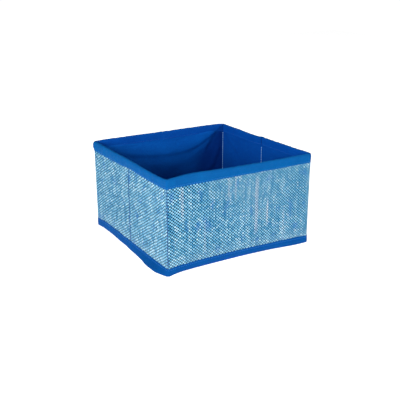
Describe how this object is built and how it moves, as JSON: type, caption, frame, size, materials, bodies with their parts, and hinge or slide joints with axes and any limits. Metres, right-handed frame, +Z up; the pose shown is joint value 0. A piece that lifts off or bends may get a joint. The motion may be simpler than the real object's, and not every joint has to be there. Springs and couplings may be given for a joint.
{
  "type": "fabric storage bin",
  "caption": "Open-top box-shaped cloth storage bin with stiffened melange walls, bound rim and base edges, a lining, side fold seams and a loose base insert; folds flat.",
  "frame": {"origin": "middle of the underside", "axes": "+Z up, -Y the front wall, X across the bin from the left side to the right side"},
  "size_m": [0.28, 0.27, 0.16],
  "materials": {
    "outer_fabric": "matte",
    "lining": "matte",
    "top_binding": "matte",
    "bottom_binding": "matte",
    "light_thread": "matte",
    "dark_thread": "matte",
    "binding_thread": "matte",
    "floor_fabric": "matte",
    "board": "matte"
  },
  "bodies": {
    "front_wall": {"front_board": "board", "front_bottom_binding": "bottom_binding", "front_left_corner_seam": "light_thread", "front_right_corner_seam": "light_thread", "front_lining": "lining", "front_outer_fabric": "outer_fabric", "front_top_binding": "top_binding", "floor_fabric": "floor_fabric"},
    "left_front_leaf": {"left_front_board": "board", "left_front_bottom_binding": "bottom_binding", "left_front_lining": "lining", "left_front_outer_fabric": "outer_fabric", "left_front_top_binding": "top_binding", "left_middle_seam": "dark_thread"},
    "left_rear_leaf": {"left_rear_board": "board", "left_rear_bottom_binding": "bottom_binding", "left_rear_lining": "lining", "left_rear_outer_fabric": "outer_fabric", "left_rear_top_binding": "top_binding"},
    "rear_wall": {"rear_board": "board", "rear_bottom_binding": "bottom_binding", "rear_left_corner_seam": "light_thread", "rear_right_corner_seam": "light_thread", "rear_lining": "lining", "rear_outer_fabric": "outer_fabric", "rear_top_binding": "top_binding"},
    "right_front_leaf": {"right_front_board": "board", "right_front_bottom_binding": "bottom_binding", "right_front_lining": "lining", "right_front_outer_fabric": "outer_fabric", "right_front_top_binding": "top_binding", "right_middle_seam": "dark_thread"},
    "right_rear_leaf": {"right_rear_board": "board", "right_rear_bottom_binding": "bottom_binding", "right_rear_lining": "lining", "right_rear_outer_fabric": "outer_fabric", "right_rear_top_binding": "top_binding"},
    "base_insert": {"insert_board": "board", "insert_cover": "lining"}
  },
  "joints": [
    {"name": "left_side_fold", "type": "hinge", "parent": "front_wall", "child": "left_front_leaf", "pos_m": [-0.1347, -0.1297, 0], "axis": [0, 0, -1], "range_deg": [0, 90], "deforming": ["left_front_bottom_binding", "left_rear_bottom_binding", "rear_bottom_binding", "right_front_bottom_binding", "right_rear_bottom_binding", "floor_fabric"]},
    {"name": "left_middle_fold", "type": "hinge", "parent": "left_front_leaf", "child": "left_rear_leaf", "pos_m": [-0.14015, 0, 0], "axis": [0, 0, 1], "range_deg": [0, 180]},
    {"name": "rear_left_corner_fold", "type": "hinge", "parent": "left_rear_leaf", "child": "rear_wall", "pos_m": [-0.1347, 0.1297, 0], "axis": [0, 0, -1], "range_deg": [0, 90]},
    {"name": "right_side_fold", "type": "hinge", "parent": "front_wall", "child": "right_front_leaf", "pos_m": [0.1347, -0.1297, 0], "axis": [0, 0, 1], "range_deg": [0, 90]},
    {"name": "right_middle_fold", "type": "hinge", "parent": "right_front_leaf", "child": "right_rear_leaf", "pos_m": [0.14015, 0, 0], "axis": [0, 0, -1], "range_deg": [0, 180]},
    {"name": "insert_lift", "type": "slide", "parent": "front_wall", "child": "base_insert", "axis": [0, 0, 1], "range_m": [0, 0.2]}
  ],
  "couplings": [
    {"joint": "left_middle_fold", "follows": "left_side_fold", "ratio": 2},
    {"joint": "rear_left_corner_fold", "follows": "left_side_fold", "ratio": 1},
    {"joint": "right_side_fold", "follows": "left_side_fold", "ratio": 1},
    {"joint": "right_middle_fold", "follows": "left_side_fold", "ratio": 2}
  ]
}
